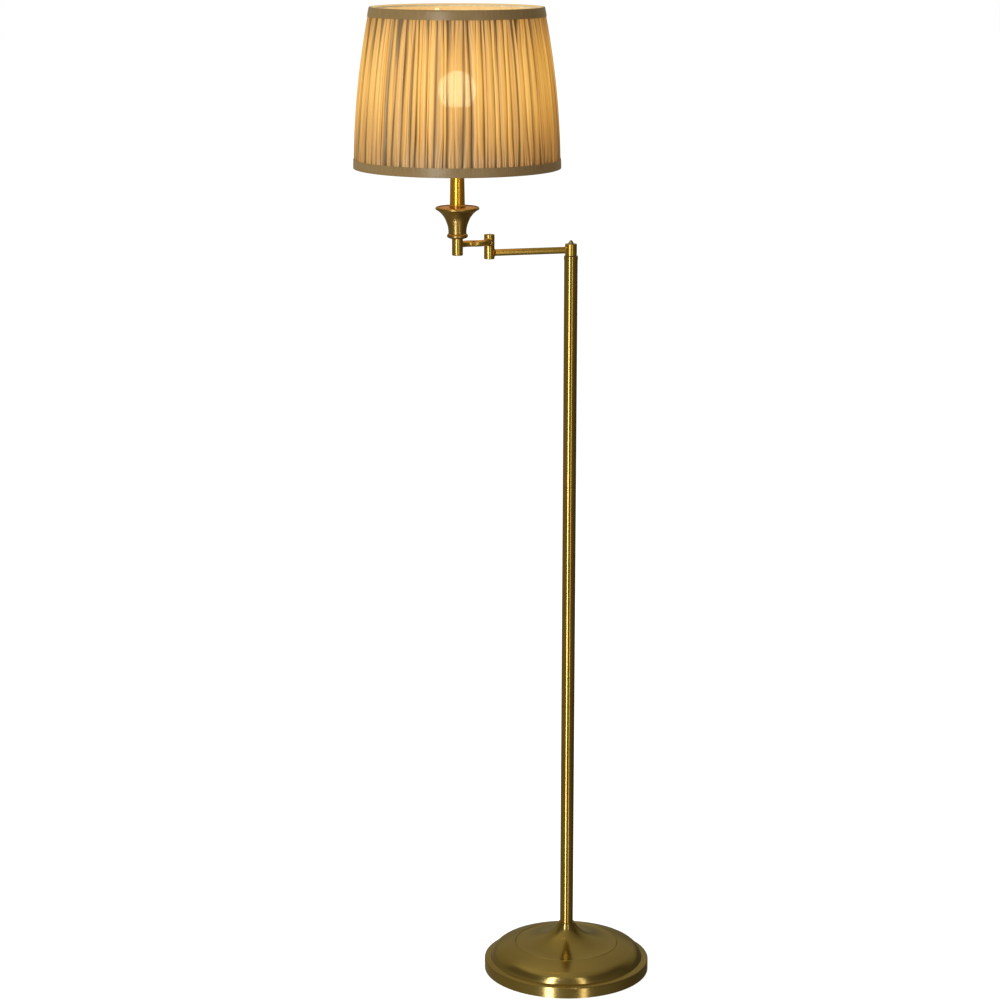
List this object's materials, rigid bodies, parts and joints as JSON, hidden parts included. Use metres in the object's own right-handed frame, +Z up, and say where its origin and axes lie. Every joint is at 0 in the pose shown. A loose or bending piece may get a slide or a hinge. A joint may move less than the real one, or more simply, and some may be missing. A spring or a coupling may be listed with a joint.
{
  "type": "bridge floor lamp",
  "caption": "Floor lamp with a weighted round base, slim pole, two-piece swinging arm, candle cup and a large gathered fabric drum shade that tapers upwards.",
  "frame": {"origin": "centre of the round base's underside, on the floor, on the pole's axis", "axes": "+Z up along the pole; -Y towards the viewer of the picture, the front; both arms reach towards -X"},
  "size_m": [0.4846, 0.3942, 1.63],
  "materials": {
    "cast_iron_weight": "rough casting, painted black",
    "felt_pad": "dark felt",
    "antique_brass_base": "antique brass, spun and lacquered, satin",
    "antique_brass_pole": "antique brass, fine brushed and lacquered",
    "antique_brass_arm": "antique brass, polished and lacquered",
    "antique_brass_cup": "antique brass, spun and lacquered",
    "zinc_steel": "zinc plated",
    "nickel_nut": "dull nickel plate",
    "nylon_washer": "natural nylon",
    "black_rubber": "moulded rubber",
    "white_holder_plastic": "moulded thermoplastic",
    "contact_brass": "plain pressed brass",
    "knob_plastic": "moulded, ridged",
    "bulb_glass": "opal white glass",
    "bulb_cap_metal": "threaded aluminium cap",
    "white_wire": "epoxy coated steel wire",
    "cream_lining": "hard-backed cream lining",
    "gathered_fabric": "gathered taffeta, satin sheen",
    "ribbon_band": "satin ribbon"
  },
  "bodies": {
    "stand": {"base_pad": "felt_pad", "base_weight": "cast_iron_weight", "base_shell": "antique_brass_base", "base_washer": "zinc_steel", "base_nut": "zinc_steel", "base_stem": "zinc_steel", "base_spacer": "zinc_steel", "inlet_grommet": "black_rubber", "pole_collar": "antique_brass_base", "pole_plug": "zinc_steel", "pole_lower": "antique_brass_pole", "pole_middle": "antique_brass_pole", "pole_upper": "antique_brass_pole", "lower_coupler": "antique_brass_pole", "upper_coupler": "antique_brass_pole", "pole_cap": "antique_brass_pole", "pole_post": "zinc_steel", "pole_post_nut": "zinc_steel", "pole_friction_washer": "nylon_washer", "finial_nut": "nickel_nut"},
    "inner_arm": {"pole_knuckle": "antique_brass_arm", "straight_arm": "antique_brass_arm", "straight_arm_fillets": "antique_brass_arm", "elbow_lower_knuckle": "antique_brass_arm", "elbow_bottom_cap": "antique_brass_arm", "elbow_post": "zinc_steel", "elbow_friction_washer": "nylon_washer", "elbow_nut": "zinc_steel"},
    "head": {"elbow_upper_knuckle": "antique_brass_arm", "elbow_top_cap": "antique_brass_arm", "s_arm": "antique_brass_arm", "s_arm_fillets": "antique_brass_arm", "head_knuckle": "antique_brass_arm", "head_bottom_cap": "antique_brass_arm", "head_nipple": "zinc_steel", "cup": "antique_brass_cup", "cup_plate": "antique_brass_cup", "candle_collar": "antique_brass_cup", "candle_tube": "antique_brass_cup", "lampholder_cap": "white_holder_plastic", "lampholder_body": "white_holder_plastic", "screw_shell": "contact_brass", "centre_contact": "contact_brass", "shade_nut": "white_holder_plastic", "bulb_glass": "bulb_glass", "bulb_cap": "bulb_cap_metal", "fitter_ring": "white_wire", "fitter_spokes": "white_wire", "shade_top_hoop": "white_wire", "shade_bottom_hoop": "white_wire", "shade_lining": "cream_lining", "shade_cover": "gathered_fabric", "shade_top_band": "ribbon_band", "shade_bottom_band": "ribbon_band"},
    "switch": {"switch_knob": "knob_plastic"}
  },
  "joints": [
    {"name": "pole_swing", "type": "hinge", "parent": "stand", "child": "inner_arm", "pos_m": [0, 0, 1.2386], "axis": [0, 0, 1], "range_deg": [-170, 170]},
    {"name": "elbow_swing", "type": "hinge", "parent": "inner_arm", "child": "head", "pos_m": [-0.13128, -0.03988, 1.25], "axis": [0, 0, 1], "range_deg": [-170, 115]},
    {"name": "switch_turn", "type": "hinge", "parent": "head", "child": "switch", "pos_m": [-0.18036, -0.10838, 1.3912], "axis": [0, -1, 0], "continuous": true}
  ]
}
